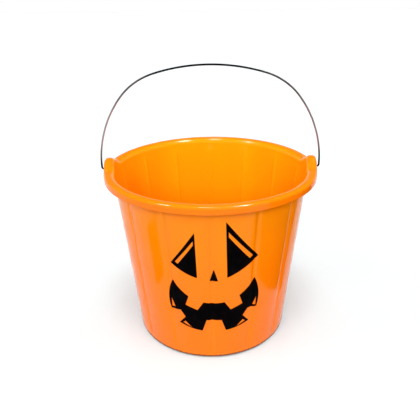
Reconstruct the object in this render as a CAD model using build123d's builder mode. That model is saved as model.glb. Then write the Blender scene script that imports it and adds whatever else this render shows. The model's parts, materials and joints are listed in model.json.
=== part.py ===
from build123d import *
from math import atan2, copysign, cos, degrees, hypot, pi, radians, sin
import os

# A moulded candy pail with pumpkin flutes, a rolled rim with two raised ears,
# a wire bail hooked into the ears and a printed jack-o'-lantern face.
# Millimetres, +Z up. The origin is the middle of the foot ring, on the floor.
# The face looks along -Y and the ears stand on the X axis.

# Pail
pail_height = 157.0  # floor to the top of the plain rim
base_radius = 71.7
wall_flare = 14.0  # how much wider the wall is at the rim's skirt than at the floor
wall = 1.5
foot_height = 4.0  # the floor plate is recessed by this much
foot_width = 3.8
foot_chamfer = 1.6
foot_band = 3.0  # plain height below the flutes
floor_thickness = 1.8
floor_chamfer = 2.5  # inside, where the wall meets the floor

# Flutes: the creases between the pumpkin's lobes
flute_count = 14
flute_width = 6.5
flute_depth = 0.75
lobe_crown = 0.5  # how far a lobe swells past the lips of its creases
flute_fade = 9.0  # height over which a flute dies out at each end

# Rolled rim and ears
rim_overhang = 8.0  # outer face of the rim, out from the wall
rim_drop = 6.4  # depth of the skirt
rim_inner_round = 4.8
rim_outer_round = 2.6
rim_lap = 0.1  # the rim's root stands proud of the fluted wall by this much, inside and out
ear_rise = 6.9
ear_half_width = 20.0
ear_crown_radius = 14.0

# Bail
wire_diameter = 1.6
wire_clearance = 0.25  # round the wire in the ear's hole
pivot_drop = 2.8  # pivot axis below the top of the rim
bail_reach = 3.2  # middle of the wire's side, out from the rim
bail_side_angle = 38.4  # degrees of round side below each shoulder
bail_bend_radius = 2.0
hook_setback = 3.5  # middle of the hook inside the rim's outer face
hook_rise = 4.6
wire_end_round = 0.4

# Printed face, drawn for a pail of the first height here and scaled with it
face_drawn_height = 157.0
print_thickness = 0.25
print_gap = 0.1  # ink film to wall
eye_base_height = 88.7
eye_inset = 12.1  # foot of each eye's inner side to the middle of both
eye_offset = 0.4  # the eyes stand to the right of the middle
eye_lean = 1.25  # and lean to the left
left_eye_width = 20.9
left_eye_height = 42.4
right_eye_width = 24.9
right_eye_height = 51.8
eye_sag = 1.3  # how far the lower edge of an eye bows out
grin_offset = 1.7  # the nose and the mouth sit to the right of the middle
nose_base_height = 85.6
nose_width = 6.8
nose_height = 11.5
mouth_base_height = 31.8
mouth_width = 67.0  # between the two tips
mouth_height = 51.7
mouth_thickness = 30.7  # at the middle, without the teeth
cheek_width = 75.2  # across the mouth's widest part
cheek_height = 31.2  # of the widest part above the mouth's base
jaw_width = 59.6  # where the round cheeks end
jaw_height = 7.0
upper_tooth_width = 13.3
upper_tooth_length = 9.2
upper_tooth_angle = 24.0  # degrees round the upper lip from the middle
lower_tooth_width = 20.4
lower_tooth_length = 12.5
side_tooth_width = 15.0
side_tooth_length = 8.0
side_tooth_angle = 59.0  # degrees round the mouth's middle, from straight down
side_tooth_reach = 38.6  # from the mouth's middle to its root
mouth_middle = 33.5  # above the mouth's base
spark_near = 34.1  # a wedge of light either side of each side tooth, as radii round the mouth's middle
spark_far = 37.1
spark_tip = 35.6
spark_start = 13.2  # degrees from the side tooth
spark_end = 27.5
overrun = 5.0  # how far cuts reach past what they cut

# Shares of the sizes above
flute_trace_share = 0.03  # of its depth that a flute keeps beyond its ends, so that its lines run on
bail_rise_share = 0.9154  # pivot axis to the top of the arch, of half the bail's width
bail_shoulder_share = 0.6
crease_shares = (-1, -0.75, -0.5, 0, 0.5, 0.75, 1)  # places across half a flute
left_corner_share = 0.285  # height of an eye's outer corner
right_corner_share = 0.315
# Corners of an eye's bar of light: how far along its slant, and how far in from it
glint_shares = ((0.073, 0.124), (0.832, 0.083), (0.726, 0.202), (0.073, 0.213))
upper_tip_share = 0.82  # width of a tooth's tip
lower_tip_share = 0.62
side_tip_share = 0.53

skirt_height = pail_height - rim_drop
taper = wall_flare / skirt_height
rim_radius = base_radius + wall_flare + rim_overhang
bail_half_width = rim_radius + bail_reach
bail_height = bail_half_width * bail_rise_share
bail_shoulder_radius = bail_half_width * bail_shoulder_share
face_scale = pail_height / face_drawn_height
pivot_height = pail_height - pivot_drop
flute_foot = foot_band + flute_fade
flute_head = skirt_height - flute_fade
floor_height = foot_height + floor_thickness
flute_pitch = 360 / flute_count
wire_radius = wire_diameter / 2
ear_radii = (ear_half_width**2 + ear_rise**2) / (2 * ear_rise)  # crown and foot radius together
ear_foot_radius = ear_radii - ear_crown_radius
ear_turn = degrees(atan2(ear_half_width, ear_radii - ear_rise))


def wall_radius(height):
    return base_radius + taper * height


def round_point(radius, angle):
    return (radius * cos(radians(angle)), radius * sin(radians(angle)))


# How much of its full depth a flute has at a height: it grows out of the foot and dies out under the rim
def flute_share(height):
    to_nearer_end = min(height - foot_band, skirt_height - height)
    return max(flute_trace_share, min(1, to_nearer_end / flute_fade))


# One level of the fluted wall: a ring of lobes with soft creases between them, one crease at the front
def lobed_level(height, inset):
    radius = wall_radius(height) - inset
    depth = flute_depth * flute_share(height)
    crown = lobe_crown * flute_share(height)
    half_angle = degrees(flute_width / (2 * radius))
    with BuildSketch(Plane.XY.offset(height)) as level:
        with BuildLine():
            for step in range(flute_count):
                middle = step * flute_pitch - 90
                crease = []
                for share in crease_shares:
                    drop = crown + depth * (1 + cos(pi * share)) / 2
                    crease.append(round_point(radius - drop, middle + half_angle * share))
                lobe_top = round_point(radius, middle + flute_pitch / 2)
                lobe_end = round_point(radius - crown, middle + flute_pitch - half_angle)
                ThreePointArc(crease[0], crease[1], crease[2])
                ThreePointArc(crease[2], crease[3], crease[4])
                ThreePointArc(crease[4], crease[5], crease[6])
                ThreePointArc(crease[6], lobe_top, lobe_end)
        make_face()
    return level.sketch


# The fluted cone through the given levels, each a height and how far the wall is set in there
def fluted_cone(*levels):
    sections = [lobed_level(height, inset) for height, inset in levels]
    with BuildPart() as cone:
        loft(sections=sections, ruled=True)
    return cone.part


# The rolled rim as a full ring. Set in by the wall, and rooted on its outside, it is the hollow of the roll
def rim_ring(inset, root, bottom):
    top = pail_height + ear_rise + overrun
    crown_middle = pail_height + ear_rise - ear_crown_radius
    foot_middle = pail_height + ear_foot_radius
    with BuildPart() as ring:
        with BuildSketch(Plane.XZ):
            with BuildLine():
                Polyline(
                    (wall_radius(bottom) + root, bottom),
                    (rim_radius - inset, bottom),
                    (rim_radius - inset, top),
                    (wall_radius(top) + root, top),
                    close=True,
                )
            make_face()
        revolve(axis=Axis.Z)
        # All above the rim's line, which swells to a hump over each ear, is cut away
        with BuildSketch(Plane.YZ):
            with BuildLine():
                foot_radius = ear_foot_radius + inset
                right = CenterArc((ear_half_width, foot_middle), foot_radius, -90, -ear_turn)
                crown = CenterArc((0, crown_middle), ear_crown_radius - inset, 90 - ear_turn, 2 * ear_turn)
                left = CenterArc((-ear_half_width, foot_middle), foot_radius, ear_turn - 90, -ear_turn)
                Polyline(
                    left @ 1,
                    (-rim_radius - overrun, pail_height - inset),
                    (-rim_radius - overrun, top + overrun),
                    (rim_radius + overrun, top + overrun),
                    (rim_radius + overrun, pail_height - inset),
                    right @ 0,
                )
            make_face()
        extrude(amount=rim_radius + overrun, both=True, mode=Mode.SUBTRACT)
        crest_radius = (wall_radius(pail_height) + rim_radius) / 2
        crest = ring.edges().filter_by(lambda edge: edge.center().Z > pail_height - inset - wall)
        outer = crest.filter_by(lambda edge: hypot((edge @ 0).X, (edge @ 0).Y) > crest_radius)
        fillet(outer, rim_outer_round - inset)
        crest = ring.edges().filter_by(lambda edge: edge.center().Z > pail_height - inset - wall)
        inner = crest.filter_by(lambda edge: hypot((edge @ 0).X, (edge @ 0).Y) < crest_radius)
        fillet(inner, rim_inner_round - inset)
    return ring.part


os.makedirs("parts", exist_ok=True)

# Pail body: one moulding, solid first, then hollowed to its wall
outer_cone = fluted_cone(
    (0, foot_chamfer),
    (foot_chamfer, 0),
    (foot_band, 0),
    (flute_foot, 0),
    (flute_head, 0),
    (skirt_height, 0),
)
inner_cone = fluted_cone(
    (floor_height, wall + floor_chamfer),
    (floor_height + floor_chamfer, wall),
    (flute_foot, wall),
    (flute_head, wall),
    (skirt_height, wall),
)

with BuildPart() as rolled_rim:
    add(rim_ring(0, -wall - rim_lap, skirt_height))
    add(rim_ring(wall, rim_lap, skirt_height - overrun), mode=Mode.SUBTRACT)

with BuildPart() as pail_body:
    add(outer_cone)
    add(inner_cone, mode=Mode.SUBTRACT)
    with BuildSketch():
        Circle(base_radius - foot_width)
    extrude(amount=foot_height, mode=Mode.SUBTRACT)
    add(rolled_rim.part)
    for side in (-1, 1):
        with BuildSketch(Plane.YZ.offset(side * rim_radius)):
            with Locations((0, pivot_height)):
                Circle(wire_radius + wire_clearance)
        extrude(amount=2 * wall, both=True, mode=Mode.SUBTRACT)
pail_body.part.label = "pail_body"
export_step(pail_body.part, "parts/pail_body.step")

# Bail: one wire, drawn as its right half from the hook to the top of the arch, then mirrored
hook_x = rim_radius - hook_setback
arch_base = pivot_height + bail_bend_radius
shoulder_x, shoulder_z = round_point(bail_half_width - bail_shoulder_radius, bail_side_angle)
shoulder_drop = bail_height - bail_bend_radius - bail_shoulder_radius
arch_z = (shoulder_x**2 + shoulder_z**2 - shoulder_drop**2) / (2 * (shoulder_z - shoulder_drop))
arch_radius = bail_height - bail_bend_radius - arch_z
arch_angle = degrees(atan2(shoulder_z - arch_z, shoulder_x))

with BuildPart() as bail:
    with BuildLine(Plane.XZ) as route:
        Line((hook_x, pivot_height + hook_rise), (hook_x, arch_base))
        CenterArc((hook_x + bail_bend_radius, arch_base), bail_bend_radius, 180, 90)
        Line((hook_x + bail_bend_radius, pivot_height), (bail_half_width - bail_bend_radius, pivot_height))
        CenterArc((bail_half_width - bail_bend_radius, arch_base), bail_bend_radius, -90, 90)
        CenterArc((0, arch_base), bail_half_width, 0, bail_side_angle)
        shoulder_centre = (shoulder_x, arch_base + shoulder_z)
        CenterArc(shoulder_centre, bail_shoulder_radius, bail_side_angle, arch_angle - bail_side_angle)
        CenterArc((0, arch_base + arch_z), arch_radius, arch_angle, 90 - arch_angle)
        mirror(about=Plane.YZ)
    path = route.wire()
    with BuildSketch(Plane(origin=path @ 0, z_dir=path % 0)):
        Circle(wire_radius)
    sweep(path=path)
    ends = bail.faces().filter_by(GeomType.PLANE)
    fillet(ends.edges(), wire_end_round)
bail.part.label = "bail"
export_step(bail.part, "parts/bail.step")

# Printed face: flat outlines pressed onto the fluted wall as thin films of ink
grin_plane = Plane((grin_offset, 0, 0), (1, 0, 0), (0, -1, 0))
with BuildPart() as ink_skin:
    add(fluted_cone((flute_foot, -print_gap - print_thickness), (flute_head, -print_gap - print_thickness)))
    add(fluted_cone((flute_foot, -print_gap), (flute_head, -print_gap)), mode=Mode.SUBTRACT)


# An eye is a tall three-sided shape with a bowed lower edge and a bar of light left bare along its slant
def eye_sketch(side, width, height, corner_share):
    foot = Vector(side * eye_inset + eye_offset, eye_base_height)
    top = foot + Vector(-eye_lean, height)
    corner = foot + Vector(side * width, height * corner_share)
    bow = (corner - foot).rotate(Axis.Z, -90 * side).normalized() * eye_sag
    slant = corner - top
    inner_side = foot - top
    glint = [top + slant * along + inner_side * across for along, across in glint_shares]
    with BuildSketch(Plane.XZ) as eye:
        with BuildLine():
            Polyline(foot, top, corner)
            ThreePointArc(corner, (foot + corner) / 2 + bow, foot)
        make_face()
        with BuildLine():
            Polyline(*glint, close=True)
        make_face(mode=Mode.SUBTRACT)
        scale(by=face_scale)
    return eye.sketch


def nose_sketch():
    with BuildSketch(grin_plane) as nose:
        with BuildLine():
            Polyline(
                (-nose_width / 2, nose_base_height),
                (nose_width / 2, nose_base_height),
                (0, nose_base_height + nose_height),
                close=True,
            )
        make_face()
        scale(by=face_scale)
    return nose.sketch


# The four corners of a tooth, drawn straight below the middle of its lip; its sides slant evenly from past
# the lip to the tip, and a positive length points away from the middle
def tooth_points(lip, width, tip_share, length):
    root = lip - copysign(overrun, length)
    tip = lip + length
    root_width = width * (1 + (1 - tip_share) * overrun / abs(length))
    tip_width = width * tip_share
    corners = ((-root_width, -root), (root_width, -root), (tip_width, -tip), (-tip_width, -tip))
    return [(across / 2, along) for across, along in corners]


# A crescent grin with square teeth left bare along both lips
def mouth_sketch():
    tip_height = mouth_base_height + mouth_height
    upper_height = mouth_base_height + mouth_thickness
    upper_rise = mouth_height - mouth_thickness
    upper_lip = ((mouth_width / 2) ** 2 + upper_rise**2) / (2 * upper_rise)
    middle = (0, mouth_base_height + mouth_middle)
    upper_tooth = tooth_points(upper_lip, upper_tooth_width, upper_tip_share, upper_tooth_length)
    lower_tooth = tooth_points(mouth_middle, lower_tooth_width, lower_tip_share, -lower_tooth_length)
    side_tooth = tooth_points(side_tooth_reach, side_tooth_width, side_tip_share, -side_tooth_length)
    with BuildSketch(grin_plane) as mouth:
        with BuildLine():
            tips = [(side * mouth_width / 2, tip_height) for side in (-1, 1)]
            cheeks = [(side * cheek_width / 2, mouth_base_height + cheek_height) for side in (-1, 1)]
            jaws = [(side * jaw_width / 2, mouth_base_height + jaw_height) for side in (-1, 1)]
            ThreePointArc(tips[0], cheeks[0], jaws[0])
            ThreePointArc(jaws[0], (0, mouth_base_height), jaws[1])
            ThreePointArc(jaws[1], cheeks[1], tips[1])
            ThreePointArc(tips[1], (0, upper_height), tips[0])
        make_face()
        for angle in (-upper_tooth_angle, upper_tooth_angle):
            with Locations(Location((0, upper_height + upper_lip, 0), (0, 0, angle))):
                Polygon(*upper_tooth, align=None, mode=Mode.SUBTRACT)
        with Locations(middle):
            Polygon(*lower_tooth, align=None, mode=Mode.SUBTRACT)
        for side in (-1, 1):
            with Locations(Location((*middle, 0), (0, 0, side * side_tooth_angle))):
                Polygon(*side_tooth, align=None, mode=Mode.SUBTRACT)
            for turn in (-1, 1):
                start = side * (side_tooth_angle + turn * spark_start) - 90
                end = side * (side_tooth_angle + turn * spark_end) - 90
                inner_corner = round_point(spark_near, start)
                outer_corner = round_point(spark_far, start)
                with Locations(middle):
                    Polygon(
                        inner_corner,
                        outer_corner,
                        round_point(spark_tip, end),
                        align=None,
                        mode=Mode.SUBTRACT,
                    )
        scale(by=face_scale)
    return mouth.sketch


print_sketches = {
    "left_eye_print": eye_sketch(-1, left_eye_width, left_eye_height, left_corner_share),
    "right_eye_print": eye_sketch(1, right_eye_width, right_eye_height, right_corner_share),
    "nose_print": nose_sketch(),
    "mouth_print": mouth_sketch(),
}
for name, sketch in print_sketches.items():
    with BuildPart() as film:
        extrude(sketch, amount=rim_radius)
        add(ink_skin.part, mode=Mode.INTERSECT)
    film.part.label = name
    export_step(film.part, f"parts/{name}.step")
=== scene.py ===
import json
from math import radians

import bpy
from mathutils import Matrix, Vector

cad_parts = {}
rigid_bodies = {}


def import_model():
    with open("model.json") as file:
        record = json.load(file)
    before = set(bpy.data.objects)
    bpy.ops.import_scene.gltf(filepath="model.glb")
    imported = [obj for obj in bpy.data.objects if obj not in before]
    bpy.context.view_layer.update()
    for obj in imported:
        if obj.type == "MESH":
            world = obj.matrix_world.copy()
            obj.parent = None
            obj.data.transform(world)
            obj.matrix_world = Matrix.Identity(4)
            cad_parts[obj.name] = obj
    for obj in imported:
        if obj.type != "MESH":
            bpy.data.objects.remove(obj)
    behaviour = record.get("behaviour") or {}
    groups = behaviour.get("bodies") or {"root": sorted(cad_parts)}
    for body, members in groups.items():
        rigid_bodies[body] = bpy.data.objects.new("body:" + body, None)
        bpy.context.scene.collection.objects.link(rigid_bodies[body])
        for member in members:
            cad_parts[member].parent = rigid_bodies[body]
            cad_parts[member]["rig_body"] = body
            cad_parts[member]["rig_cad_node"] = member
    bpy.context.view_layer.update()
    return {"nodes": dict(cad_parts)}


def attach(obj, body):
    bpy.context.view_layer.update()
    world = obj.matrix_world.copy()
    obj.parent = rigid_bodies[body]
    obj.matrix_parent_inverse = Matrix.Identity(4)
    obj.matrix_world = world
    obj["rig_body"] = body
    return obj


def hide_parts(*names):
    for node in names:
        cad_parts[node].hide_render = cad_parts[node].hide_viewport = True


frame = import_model()
print("frame loaded with", len(frame["nodes"]), "nodes")

mmPerMetre = 1000
noiseLow, noiseHigh = 0.3, 0.7  # most values of a noise lie between these


def hexColour(code):  # sRGB hex to linear RGBA
    parts = [int(code[i:i + 2], 16) / 255 for i in (1, 3, 5)]
    linear = [p / 12.92 if p <= 0.04045 else ((p + 0.055) / 1.055) ** 2.4 for p in parts]
    return (*linear, 1.0)


def addNode(tree, kind, settings=None, inputs=None):  # an input is a value, or (node, output) to link
    node = tree.nodes.new(kind)
    for name, value in (settings or {}).items():
        setattr(node, name, value)
    for name, value in (inputs or {}).items():
        if isinstance(value, tuple) and isinstance(value[0], bpy.types.Node):
            tree.links.new(value[0].outputs[value[1]], node.inputs[name])
        else:
            node.inputs[name].default_value = value
    return node


def newMaterial(name):  # an empty node tree with only its output
    material = bpy.data.materials.new(name)
    material.use_nodes = True
    tree = material.node_tree
    tree.nodes.clear()
    return material, tree, addNode(tree, "ShaderNodeOutputMaterial")


def selectOnly(piece):
    bpy.ops.object.select_all(action="DESELECT")
    piece.select_set(True)
    bpy.context.view_layer.objects.active = piece


# moulded polypropylene: a clear bright orange, glossy from a polished mould, wavy where the melt cooled,
# with painted light making it yellower high on the wall and painted shade deeper low down, deeper in the
# thick rim and darker there as painted shade, and a painted contact shadow along the foot
pailLook = {
    # foot and upper: the wall's own colour with painted shade low down and painted light high up
    "tallMm": 157.0, "foot": "#FF7402", "wall": "#FF7D03", "upper": "#FF8E05",
    "wallStop": 0.55,  # where the wall's own colour stands between the painted shade low down and the painted light high up
    # the rim is deeper for its thick plastic, and darker still as painted shade where its top faces the
    # light
    "rim": "#F07303", "rimFromMm": 84.5, "rimToMm": 87.0,  # out from the pail's axis
    "mottleMm": 30.0, "mottleDepth": 0.24, "ior": 1.49, "specular": 0.2, "roughness": (0.09, 0.15),
    # a painted contact shadow: dark brown up the foot's first few millimetres, with a grainy top edge
    "paintedContactShade": "#5C3A22", "contactShadeFromMm": 2.8, "contactShadeToMm": 4.6, "contactShadeDepth": 0.85, "contactShadeGrainMm": 3.0,
    "waveMm": 16.0, "waveStretch": 0.12, "waveDepthMm": 0.14,
    "grainMm": 1.2, "grainDepthMm": 0.004,  # mould grain, drawn coarser than life so that it shows
    "glow": 0.1, "glowDepthMm": 1.2, "glowReach": (1.0, 0.3, 0.05),  # red light goes furthest in
}


def mouldedPolypropylene(look):
    material, tree, output = newMaterial("mouldedPolypropyleneOrange")
    place = addNode(tree, "ShaderNodeTexCoord")
    upright = addNode(tree, "ShaderNodeMapping", inputs={
        "Vector": (place, "Object"), "Scale": (1.0, 1.0, look["waveStretch"])})
    mottle = addNode(tree, "ShaderNodeTexNoise", inputs={
        "Vector": (upright, "Vector"), "Scale": mmPerMetre / look["mottleMm"],
        "Detail": 3.0, "Roughness": 0.55})
    axes = addNode(tree, "ShaderNodeSeparateXYZ", inputs={"Vector": (place, "Object")})
    # the colour climbs with height, as painted shade low on the wall and painted light high up
    paintedLightAndShadeHeight = addNode(tree, "ShaderNodeMapRange", inputs={  # half the mottle less, so that it evens out
        "Value": (axes, "Z"), "From Max": look["tallMm"] / mmPerMetre,
        "To Min": -look["mottleDepth"] / 2, "To Max": 1 - look["mottleDepth"] / 2})
    tone = addNode(tree, "ShaderNodeMath", {"operation": "MULTIPLY_ADD"}, {
        0: (mottle, "Fac"), 1: look["mottleDepth"], 2: (paintedLightAndShadeHeight, "Result")})
    colour = addNode(tree, "ShaderNodeValToRGB", inputs={"Fac": (tone, "Value")})
    colour.color_ramp.elements[0].color = hexColour(look["foot"])
    colour.color_ramp.elements[1].color = hexColour(look["upper"])
    middle = colour.color_ramp.elements.new(look["wallStop"])
    middle.color = hexColour(look["wall"])
    level = addNode(tree, "ShaderNodeMapping", inputs={
        "Vector": (place, "Object"), "Scale": (1.0, 1.0, 0.0)})
    reach = addNode(tree, "ShaderNodeVectorMath", {"operation": "LENGTH"}, {0: (level, "Vector")})
    # the rim's band takes its own colour: deeper for the thick plastic, and painted shade on its top
    rimShare = addNode(tree, "ShaderNodeMapRange", inputs={
        "Value": (reach, "Value"),
        "From Min": look["rimFromMm"] / mmPerMetre, "From Max": look["rimToMm"] / mmPerMetre})
    rimmed = addNode(tree, "ShaderNodeMix", {"data_type": "RGBA"}, {
        "Factor": (rimShare, "Result"), "A": (colour, "Color"), "B": hexColour(look["rim"])})
    # painted contact shadow along the foot, mixed over the colour below
    contactShadeGrain = addNode(tree, "ShaderNodeTexNoise", inputs={
        "Vector": (place, "Object"), "Scale": mmPerMetre / look["contactShadeGrainMm"], "Detail": 4.0})
    contactShadeEdge = addNode(tree, "ShaderNodeMapRange", inputs={
        "Value": (contactShadeGrain, "Fac"), "From Min": noiseLow, "From Max": noiseHigh,
        "To Min": look["contactShadeFromMm"] / mmPerMetre, "To Max": look["contactShadeToMm"] / mmPerMetre})
    contactShadeShare = addNode(tree, "ShaderNodeMapRange", inputs={
        "Value": (axes, "Z"),
        "From Min": look["contactShadeFromMm"] / mmPerMetre, "From Max": (contactShadeEdge, "Result"),
        "To Min": look["contactShadeDepth"], "To Max": 0.0})
    # the colour with the painted contact shadow mixed in at the foot
    worn = addNode(tree, "ShaderNodeMix", {"data_type": "RGBA"}, {
        "Factor": (contactShadeShare, "Result"), "A": (rimmed, "Result"), "B": hexColour(look["paintedContactShade"])})
    gloss = addNode(tree, "ShaderNodeMapRange", inputs={
        "Value": (mottle, "Fac"), "From Min": noiseLow, "From Max": noiseHigh,
        "To Min": look["roughness"][0], "To Max": look["roughness"][1]})
    wave = addNode(tree, "ShaderNodeTexNoise", inputs={
        "Vector": (upright, "Vector"), "Scale": mmPerMetre / look["waveMm"],
        "Detail": 1.0, "Roughness": 0.4})
    waveBump = addNode(tree, "ShaderNodeBump", inputs={
        "Height": (wave, "Fac"), "Distance": look["waveDepthMm"] / mmPerMetre})
    grain = addNode(tree, "ShaderNodeTexNoise", inputs={
        "Vector": (place, "Object"), "Scale": mmPerMetre / look["grainMm"], "Detail": 2.0})
    grainBump = addNode(tree, "ShaderNodeBump", inputs={
        "Height": (grain, "Fac"), "Distance": look["grainDepthMm"] / mmPerMetre,
        "Normal": (waveBump, "Normal")})
    shader = addNode(tree, "ShaderNodeBsdfPrincipled", inputs={
        "Base Color": (worn, "Result"), "Roughness": (gloss, "Result"), "IOR": look["ior"],
        "Specular IOR Level": look["specular"],
        "Subsurface Weight": look["glow"], "Subsurface Radius": look["glowReach"],
        "Subsurface Scale": look["glowDepthMm"] / mmPerMetre, "Normal": (grainBump, "Normal")})
    tree.links.new(shader.outputs["BSDF"], output.inputs["Surface"])
    return material


# screen-printed ink: a dense black film, satin, with the faint tooth of the printing mesh
inkLook = {
    "colour": "#030203", "worn": "#0C0B0C", "wornFrom": 0.5, "wornTo": 0.85,  # shares of the mottle
    "mottleMm": 9.0, "roughness": (0.42, 0.56), "ior": 1.5, "specular": 0.008,
    "meshMm": 0.8, "meshDepthMm": 0.006,  # the mesh is finer in life and is drawn coarser so that it shows
}


def screenInk(look):
    material, tree, output = newMaterial("screenPrintedInkBlack")
    place = addNode(tree, "ShaderNodeTexCoord")
    mottle = addNode(tree, "ShaderNodeTexNoise", inputs={
        "Vector": (place, "Object"), "Scale": mmPerMetre / look["mottleMm"],
        "Detail": 4.0, "Roughness": 0.6})
    colour = addNode(tree, "ShaderNodeValToRGB", inputs={"Fac": (mottle, "Fac")})
    colour.color_ramp.elements[0].position = look["wornFrom"]
    colour.color_ramp.elements[0].color = hexColour(look["colour"])
    colour.color_ramp.elements[1].position = look["wornTo"]
    colour.color_ramp.elements[1].color = hexColour(look["worn"])
    gloss = addNode(tree, "ShaderNodeMapRange", inputs={
        "Value": (mottle, "Fac"), "From Min": noiseLow, "From Max": noiseHigh,
        "To Min": look["roughness"][0], "To Max": look["roughness"][1]})
    tooth = addNode(tree, "ShaderNodeTexVoronoi", inputs={
        "Vector": (place, "Object"), "Scale": mmPerMetre / look["meshMm"]})
    toothBump = addNode(tree, "ShaderNodeBump", inputs={
        "Height": (tooth, "Distance"), "Distance": look["meshDepthMm"] / mmPerMetre})
    shader = addNode(tree, "ShaderNodeBsdfPrincipled", inputs={
        "Base Color": (colour, "Color"), "Roughness": (gloss, "Result"), "IOR": look["ior"],
        "Specular IOR Level": look["specular"], "Normal": (toothBump, "Normal")})
    tree.links.new(shader.outputs["BSDF"], output.inputs["Surface"])
    return material


# drawn steel wire: black and patchy, dully shiny, with painted shade over the crown and at the ends
# and painted sheen down both sides
wireLook = {
    "paintedShadeAndSheen": (  # painted shade and sheen: colour at a height, mm
        ("#15120F", 159.0), ("#A0A4A7", 178.0), ("#A0A4A7", 202.0), ("#0D0D0F", 238.0),
    ),
    "lowMm": 154.0, "highMm": 244.0, "patchMm": 7.0, "patchDepth": 0.13,
    "roughness": (0.3, 0.42), "scratchMm": 0.6, "scratchDepthMm": 0.002,
}


def drawnSteelWire(look):
    material, tree, output = newMaterial("drawnSteelWireDark")
    place = addNode(tree, "ShaderNodeTexCoord")
    patch = addNode(tree, "ShaderNodeTexNoise", inputs={
        "Vector": (place, "Object"), "Scale": mmPerMetre / look["patchMm"],
        "Detail": 5.0, "Roughness": 0.6})
    axes = addNode(tree, "ShaderNodeSeparateXYZ", inputs={"Vector": (place, "Object")})
    paintedLightAndShadeHeight = addNode(tree, "ShaderNodeMapRange", inputs={  # half the patches less, so that they even out
        "Value": (axes, "Z"),
        "From Min": look["lowMm"] / mmPerMetre, "From Max": look["highMm"] / mmPerMetre,
        "To Min": -look["patchDepth"] / 2, "To Max": 1 - look["patchDepth"] / 2})
    tone = addNode(tree, "ShaderNodeMath", {"operation": "MULTIPLY_ADD"}, {
        0: (patch, "Fac"), 1: look["patchDepth"], 2: (paintedLightAndShadeHeight, "Result")})
    # the colour follows height: painted shade at the ends and over the crown, painted sheen down the sides
    colour = addNode(tree, "ShaderNodeValToRGB", inputs={"Fac": (tone, "Value")})
    stops = colour.color_ramp.elements
    stops.remove(stops[1])
    for count, (code, heightMm) in enumerate(look["paintedShadeAndSheen"]):
        share = (heightMm - look["lowMm"]) / (look["highMm"] - look["lowMm"])
        stop = stops.new(share) if count else stops[0]
        stop.position = share
        stop.color = hexColour(code)
    gloss = addNode(tree, "ShaderNodeMapRange", inputs={
        "Value": (patch, "Fac"), "From Min": noiseLow, "From Max": noiseHigh,
        "To Min": look["roughness"][1], "To Max": look["roughness"][0]})
    scratch = addNode(tree, "ShaderNodeTexNoise", inputs={
        "Vector": (place, "Object"), "Scale": mmPerMetre / look["scratchMm"], "Detail": 2.0})
    scratchBump = addNode(tree, "ShaderNodeBump", inputs={
        "Height": (scratch, "Fac"), "Distance": look["scratchDepthMm"] / mmPerMetre})
    shader = addNode(tree, "ShaderNodeBsdfPrincipled", inputs={
        "Base Color": (colour, "Color"), "Metallic": 1.0, "Roughness": (gloss, "Result"),
        "Normal": (scratchBump, "Normal")})
    tree.links.new(shader.outputs["BSDF"], output.inputs["Surface"])
    return material


orangePlastic = mouldedPolypropylene(pailLook)
blackInk = screenInk(inkLook)
steelWire = drawnSteelWire(wireLook)
print("materials made")

# each visible piece is the node's own mesh, welded and smoothed, so that gloss runs over it unbroken
pieceTable = [
    {"node": "pail_body", "piece": "pailShell", "body": "pail", "slot": "orange_plastic", "smooth": 34},
    {"node": "bail", "piece": "bailWire", "body": "bail", "slot": "steel_wire", "smooth": 50},
    {"node": "left_eye_print", "piece": "leftEyeInk", "body": "pail", "slot": "black_ink", "smooth": 30},
    {"node": "right_eye_print", "piece": "rightEyeInk", "body": "pail", "slot": "black_ink", "smooth": 30},
    {"node": "nose_print", "piece": "noseInk", "body": "pail", "slot": "black_ink", "smooth": 30},
    {"node": "mouth_print", "piece": "mouthInk", "body": "pail", "slot": "black_ink", "smooth": 30},
]
finishes = {"orange_plastic": orangePlastic, "steel_wire": steelWire, "black_ink": blackInk}
weldMm = 0.0005


def weldedCopy(row):
    selectOnly(frame["nodes"][row["node"]])
    bpy.ops.object.duplicate()
    piece = bpy.context.active_object
    piece.name = row["piece"]
    piece.data.name = row["piece"]
    piece.parent = None
    for key in ("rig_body", "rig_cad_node"):  # marks of the node it was copied from
        if key in piece:
            del piece[key]
    bpy.ops.object.mode_set(mode="EDIT")
    bpy.ops.mesh.select_all(action="SELECT")
    bpy.ops.mesh.remove_doubles(threshold=weldMm / mmPerMetre)
    bpy.ops.object.mode_set(mode="OBJECT")
    if piece.data.has_custom_normals:
        bpy.ops.mesh.customdata_custom_splitnormals_clear()
    bpy.ops.object.shade_smooth_by_angle(angle=radians(row["smooth"]))
    piece.data.materials.clear()
    piece.data.materials.append(finishes[row["slot"]])
    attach(piece, row["body"])
    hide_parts(row["node"])
    print("piece", row["piece"], len(piece.data.vertices), "points")


for row in pieceTable:
    weldedCopy(row)


def seenRay(tree):  # 1 for rays from the camera, gloss or glass, and 0 for the light's own bounces
    rayPath = addNode(tree, "ShaderNodeLightPath")
    straight = addNode(tree, "ShaderNodeMath", {"operation": "MAXIMUM"}, {
        0: (rayPath, "Is Camera Ray"), 1: (rayPath, "Is Glossy Ray")})
    return addNode(tree, "ShaderNodeMath", {"operation": "MAXIMUM"}, {
        0: (straight, "Value"), 1: (rayPath, "Is Transmission Ray")})


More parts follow.
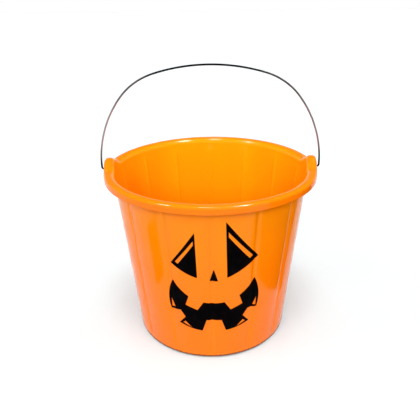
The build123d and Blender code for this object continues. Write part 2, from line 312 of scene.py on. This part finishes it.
# floor: pale paper that runs out to the horizon, and throws back less light than the camera sees on it
floorLook = {
    "size": 24.0,
    "seen": "#C3C8C9",  # a shade cool against the orange thrown on it
    "bounce": "#505050",
}
bpy.ops.object.select_all(action="DESELECT")
bpy.ops.mesh.primitive_plane_add(size=floorLook["size"], location=(0, 0, 0))
floorSheet = bpy.context.active_object
floorSheet.name = "floorSheet"
paper, paperTree, paperOutput = newMaterial("studioPaperWhite")
paperSeen = addNode(paperTree, "ShaderNodeBsdfDiffuse", inputs={"Color": hexColour(floorLook["seen"])})
paperBounce = addNode(paperTree, "ShaderNodeBsdfDiffuse", inputs={"Color": hexColour(floorLook["bounce"])})
paperMix = addNode(paperTree, "ShaderNodeMixShader", inputs={
    0: (seenRay(paperTree), "Value"), 1: (paperBounce, "BSDF"), 2: (paperSeen, "BSDF")})
paperTree.links.new(paperMix.outputs["Shader"], paperOutput.inputs["Surface"])
floorSheet.data.materials.append(paper)

# light: a room that is white to the camera and dim overhead in gloss, soft lamps in front and above,
# and weaker ones at the sides and low behind
roomLook = {
    "white": "#FFFFFF", "background": 1.0,
    "ceiling": 0.05, "ceilingFrom": 0.02, "ceilingTo": 0.42,  # what gloss shows overhead
    "lightLow": 0.2, "lightHigh": 0.7,  # light falls mostly from above
}
lampTable = [
    {"name": "lampFront", "from": (-0.05, -0.88, 0.47), "strength": 2.75, "spread": 24.0},
    {"name": "lampFrontLeft", "from": (-0.53, -0.63, 0.57), "strength": 0.42, "spread": 24.0},
    {"name": "lampFrontRight", "from": (0.53, -0.63, 0.57), "strength": 0.25, "spread": 24.0},
    {"name": "lampSideLeft", "from": (-0.81, -0.14, 0.57), "strength": 0.45, "spread": 24.0},
    {"name": "lampSideRight", "from": (0.81, -0.14, 0.57), "strength": 0.33, "spread": 24.0},
    {"name": "lampTop", "from": (0.0, -0.26, 0.97), "strength": 1.9, "spread": 24.0},
    {"name": "lampRearLeft", "from": (-0.85, 0.50, 0.17), "strength": 0.6, "spread": 24.0},
    {"name": "lampRearRight", "from": (0.85, 0.50, 0.17), "strength": 0.7, "spread": 24.0},
    {"name": "lampBack", "from": (0.0, 0.98, 0.17), "strength": 0.7, "spread": 24.0, "shadow": False},
]
glintTable = [  # small lamps that show only in gloss, as bright streaks along the rim
    {"name": "glintLeft", "from": (-0.80, -0.30, 1.20), "strength": 2.8, "spread": 9.0},
    {"name": "glintMiddle", "from": (-0.08, -0.30, 1.20), "strength": 1.2, "spread": 9.0},
    {"name": "glintRight", "from": (0.47, -0.30, 1.20), "strength": 4.5, "spread": 9.0},
]
room = bpy.data.worlds.new("whiteRoom")
bpy.context.scene.world = room
room.use_nodes = True
roomTree = room.node_tree
roomTree.nodes.clear()
roomWay = addNode(roomTree, "ShaderNodeTexCoord")
roomHeight = addNode(roomTree, "ShaderNodeSeparateXYZ", inputs={"Vector": (roomWay, "Generated")})
seenStrength = addNode(roomTree, "ShaderNodeMapRange", {"interpolation_type": "SMOOTHSTEP"}, {
    "Value": (roomHeight, "Z"), "From Min": roomLook["ceilingFrom"], "From Max": roomLook["ceilingTo"],
    "To Min": roomLook["background"], "To Max": roomLook["ceiling"]})
lightStrength = addNode(roomTree, "ShaderNodeMapRange", inputs={
    "Value": (roomHeight, "Z"), "To Min": roomLook["lightLow"], "To Max": roomLook["lightHigh"]})
roomStrength = addNode(roomTree, "ShaderNodeMapRange", inputs={
    "Value": (seenRay(roomTree), "Value"),
    "To Min": (lightStrength, "Result"), "To Max": (seenStrength, "Result")})
roomRay = addNode(roomTree, "ShaderNodeLightPath")
viewStrength = addNode(roomTree, "ShaderNodeMapRange", inputs={  # the camera sees white all round
    "Value": (roomRay, "Is Camera Ray"),
    "To Min": (roomStrength, "Result"), "To Max": roomLook["background"]})
roomLight = addNode(roomTree, "ShaderNodeBackground", inputs={
    "Color": hexColour(roomLook["white"]), "Strength": (viewStrength, "Result")})
addNode(roomTree, "ShaderNodeOutputWorld", inputs={"Surface": (roomLight, "Background")})
for row in lampTable + glintTable:
    lamp = bpy.data.lights.new(row["name"], "SUN")
    lamp.energy = row["strength"]
    lamp.angle = radians(row["spread"])
    lamp.use_shadow = row.get("shadow", True)
    lampObject = bpy.data.objects.new(row["name"], lamp)
    lampObject.location = row["from"]
    lampObject.rotation_euler = Vector(row["from"]).to_track_quat("Z", "Y").to_euler()
    lampObject.visible_glossy = row in glintTable
    lampObject.visible_diffuse = row in lampTable
    bpy.context.scene.collection.objects.link(lampObject)

# dark cards stand by the pail's sides, for its gloss alone
cardLook = {"colour": "#0A0A0A", "turn": (90, 0, 90)}  # upright, facing the pail
cardTable = [
    {"name": "darkCardLeft", "at": (-0.130, -0.092, 0.039), "width": 0.040, "height": 0.078},
    {"name": "darkCardRight", "at": (0.123, -0.068, 0.120), "width": 0.117, "height": 0.240},
]
card, cardTree, cardOutput = newMaterial("blackCard")
cardFace = addNode(cardTree, "ShaderNodeBsdfDiffuse", inputs={"Color": hexColour(cardLook["colour"])})
cardTree.links.new(cardFace.outputs["BSDF"], cardOutput.inputs["Surface"])
for row in cardTable:
    bpy.ops.object.select_all(action="DESELECT")
    bpy.ops.mesh.primitive_plane_add(size=1.0, location=(0, 0, 0))
    darkCard = bpy.context.active_object
    darkCard.name = row["name"]
    darkCard.scale = (row["width"], row["height"], 1.0)
    darkCard.rotation_euler = [radians(angle) for angle in cardLook["turn"]]
    darkCard.location = row["at"]
    darkCard.data.materials.append(card)
    darkCard.visible_camera = False
    darkCard.visible_diffuse = False
    darkCard.visible_shadow = False
print("floor and lights set")

# camera: close to the pail and above its rim, as the photograph was taken
cameraLook = {
    "distance": 0.39290, "height": 0.29162,  # metres from the pail's axis and above the floor
    "tiltDown": 24.541, "pan": -0.116, "roll": -0.752,  # degrees
    "lens": 39.651, "sensor": 36.0, "near": 0.01, "far": 50.0,
}
cameraData = bpy.data.cameras.new("photoCamera")
cameraData.sensor_width = cameraLook["sensor"]
cameraData.lens = cameraLook["lens"]
cameraData.clip_start = cameraLook["near"]
cameraData.clip_end = cameraLook["far"]
camera = bpy.data.objects.new("photoCamera", cameraData)
bpy.context.scene.collection.objects.link(camera)
camera.matrix_world = (
    Matrix.Translation((0.0, -cameraLook["distance"], cameraLook["height"]))
    @ Matrix.Rotation(radians(-cameraLook["pan"]), 4, "Z")
    @ Matrix.Rotation(radians(90 - cameraLook["tiltDown"]), 4, "X")
    @ Matrix.Rotation(radians(cameraLook["roll"]), 4, "Z")
)
bpy.context.scene.camera = camera
bpy.context.scene.view_settings.view_transform = "Standard"
print("camera set")
